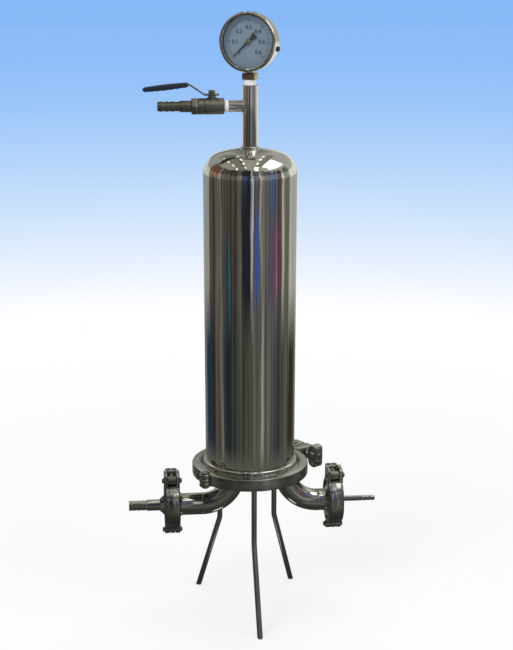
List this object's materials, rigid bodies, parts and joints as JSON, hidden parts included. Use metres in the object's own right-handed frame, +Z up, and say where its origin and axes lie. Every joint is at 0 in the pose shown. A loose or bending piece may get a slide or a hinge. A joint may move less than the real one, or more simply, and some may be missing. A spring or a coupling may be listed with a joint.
{
  "type": "cartridge filter housing",
  "caption": "Upright cartridge filter: clamped domed housing on rod legs, with clamped hose ports, a vent ball valve and a dial pressure gauge on the head.",
  "frame": {"origin": "on the floor, under the upright axis of the housing", "axes": "+Z up along the housing's axis, +X along the inlet arm out to its hose tail, -X along the outlet arm, -Y towards the front, where the gauge looks"},
  "size_m": [0.2871, 0.1712, 0.6713],
  "materials": {
    "polished": "mirror polished stainless steel",
    "legs": "satin stainless steel",
    "cast": "cast stainless steel, tumbled",
    "nuts": "cast stainless steel, tumbled",
    "hardware": "machined stainless steel",
    "valve": "turned stainless steel",
    "lever": "pressed stainless steel",
    "grip": "dipped vinyl",
    "gaskets": "moulded rubber",
    "tape": "wound thread tape",
    "brass": "machined brass, dull",
    "case": "polished stainless steel",
    "window": "clear",
    "dial": "matte",
    "pointer": "matte black",
    "plug": "moulded rubber",
    "cartridge": "moulded plastic",
    "membrane": "pleated membrane"
  },
  "bodies": {
    "housing": {"bell_shell": "polished", "bell_flange": "polished", "top_tee": "polished", "housing_base": "polished", "body_gasket": "gaskets", "leg_front": "legs", "leg_right": "legs", "leg_left": "legs", "outlet_elbow": "polished", "inlet_elbow": "polished", "port_gaskets": "gaskets", "outlet_hose_tail": "polished", "inlet_hose_tail": "polished", "body_clamp_rear_half": "cast", "body_clamp_pins": "hardware", "outlet_clamp_front_half": "cast", "outlet_clamp_pins": "hardware", "inlet_clamp_front_half": "cast", "inlet_clamp_pins": "hardware", "thread_tapes": "tape", "valve_body": "valve", "valve_end_cap": "valve", "ball_seats": "tape", "gland_nut": "hardware", "vent_hose_tail": "polished", "gauge_socket": "brass", "gauge_case": "case", "gauge_bezel": "case", "gauge_window": "window", "gauge_dial": "dial", "movement_frame": "brass", "pressure_tube": "brass", "gauge_vent_plug": "plug", "cartridge_adapter": "cartridge", "adapter_seal_rings": "gaskets", "cartridge_core": "cartridge", "pleated_membrane": "membrane", "cartridge_cage": "cartridge", "cartridge_top_cap": "cartridge"},
    "body_clamp_bolt": {"body_clamp_swing_bolt": "hardware"},
    "body_clamp_washer": {"body_clamp_washer": "hardware"},
    "body_clamp_nut": {"body_clamp_wing_nut": "nuts"},
    "body_clamp_opening_half": {"body_clamp_front_half": "cast"},
    "outlet_clamp_bolt": {"outlet_clamp_swing_bolt": "hardware"},
    "outlet_clamp_washer": {"outlet_clamp_washer": "hardware"},
    "outlet_clamp_nut": {"outlet_clamp_wing_nut": "nuts"},
    "outlet_clamp_opening_half": {"outlet_clamp_rear_half": "cast"},
    "inlet_clamp_bolt": {"inlet_clamp_swing_bolt": "hardware"},
    "inlet_clamp_washer": {"inlet_clamp_washer": "hardware"},
    "inlet_clamp_nut": {"inlet_clamp_wing_nut": "nuts"},
    "inlet_clamp_opening_half": {"inlet_clamp_rear_half": "cast"},
    "valve_spindle": {"valve_ball": "hardware", "valve_spindle": "hardware", "valve_lever": "lever", "lever_grip": "grip", "lever_nut": "hardware"},
    "sector": {"sector_gear": "brass"},
    "pointer": {"pointer_arbor": "brass", "gauge_pointer": "pointer"}
  },
  "joints": [
    {"name": "body_clamp_bolt_swing", "type": "hinge", "parent": "housing", "child": "body_clamp_bolt", "pos_m": [0.05887, 0.05563, 0.1681], "axis": [0, 0, 1], "range_deg": [0, 70]},
    {"name": "body_clamp_washer_slide", "type": "slide", "parent": "body_clamp_bolt", "child": "body_clamp_washer", "axis": [0.6018, -0.7986, 0], "range_m": [0, 0.005]},
    {"name": "body_clamp_nut_spin", "type": "hinge", "parent": "body_clamp_washer", "child": "body_clamp_nut", "pos_m": [0.06429, 0.04845, 0.1681], "axis": [0.6018, -0.7986, 0], "range_deg": [0, 1441]},
    {"name": "body_clamp_half_opening", "type": "hinge", "parent": "housing", "child": "body_clamp_opening_half", "pos_m": [-0.05431, -0.04092, 0.1681], "axis": [0, 0, -1], "range_deg": [0, 1.95]},
    {"name": "outlet_clamp_bolt_swing", "type": "hinge", "parent": "housing", "child": "outlet_clamp_bolt", "pos_m": [-0.0906, -0.007, 0.1554], "axis": [1, 0, 0], "range_deg": [0, 70]},
    {"name": "outlet_clamp_washer_slide", "type": "slide", "parent": "outlet_clamp_bolt", "child": "outlet_clamp_washer", "axis": [0, 1, 0], "range_m": [0, 0.004]},
    {"name": "outlet_clamp_nut_spin", "type": "hinge", "parent": "outlet_clamp_washer", "child": "outlet_clamp_nut", "pos_m": [-0.0906, 0, 0.1554], "axis": [0, 1, 0], "range_deg": [0, 1441]},
    {"name": "outlet_clamp_half_opening", "type": "hinge", "parent": "housing", "child": "outlet_clamp_opening_half", "pos_m": [-0.0906, 0, 0.0926], "axis": [-1, 0, 0], "range_deg": [0, 3.67]},
    {"name": "inlet_clamp_bolt_swing", "type": "hinge", "parent": "housing", "child": "inlet_clamp_bolt", "pos_m": [0.0979, -0.007, 0.1554], "axis": [1, 0, 0], "range_deg": [0, 70]},
    {"name": "inlet_clamp_washer_slide", "type": "slide", "parent": "inlet_clamp_bolt", "child": "inlet_clamp_washer", "axis": [0, 1, 0], "range_m": [0, 0.004]},
    {"name": "inlet_clamp_nut_spin", "type": "hinge", "parent": "inlet_clamp_washer", "child": "inlet_clamp_nut", "pos_m": [0.0979, 0, 0.1554], "axis": [0, 1, 0], "range_deg": [0, 1441]},
    {"name": "inlet_clamp_half_opening", "type": "hinge", "parent": "housing", "child": "inlet_clamp_opening_half", "pos_m": [0.0979, 0, 0.0926], "axis": [-1, 0, 0], "range_deg": [0, 3.67]},
    {"name": "valve_lever_turn", "type": "hinge", "parent": "housing", "child": "valve_spindle", "pos_m": [-0.0404, 0, 0.57473], "axis": [0, 0, 1], "range_deg": [-90, 0]},
    {"name": "sector_swing", "type": "hinge", "parent": "housing", "child": "sector", "pos_m": [0.01502, -0.00607, 0.64063], "axis": [-0.3746, -0.9272, 0], "range_deg": [0, 33.75]},
    {"name": "pointer_turn", "type": "hinge", "parent": "housing", "child": "pointer", "pos_m": [0, 0, 0.64063], "axis": [0.3746, 0.9272, 0], "range_deg": [0, 270]}
  ],
  "couplings": [
    {"joint": "body_clamp_nut_spin", "follows": "body_clamp_washer_slide", "rad_per_m": 5026.5},
    {"joint": "body_clamp_half_opening", "follows": "body_clamp_washer_slide", "rad_per_m": 6.734},
    {"joint": "outlet_clamp_nut_spin", "follows": "outlet_clamp_washer_slide", "rad_per_m": 6283.2},
    {"joint": "outlet_clamp_half_opening", "follows": "outlet_clamp_washer_slide", "rad_per_m": 15.924},
    {"joint": "inlet_clamp_nut_spin", "follows": "inlet_clamp_washer_slide", "rad_per_m": 6283.2},
    {"joint": "inlet_clamp_half_opening", "follows": "inlet_clamp_washer_slide", "rad_per_m": 15.924},
    {"joint": "pointer_turn", "follows": "sector_swing", "ratio": 8}
  ]
}
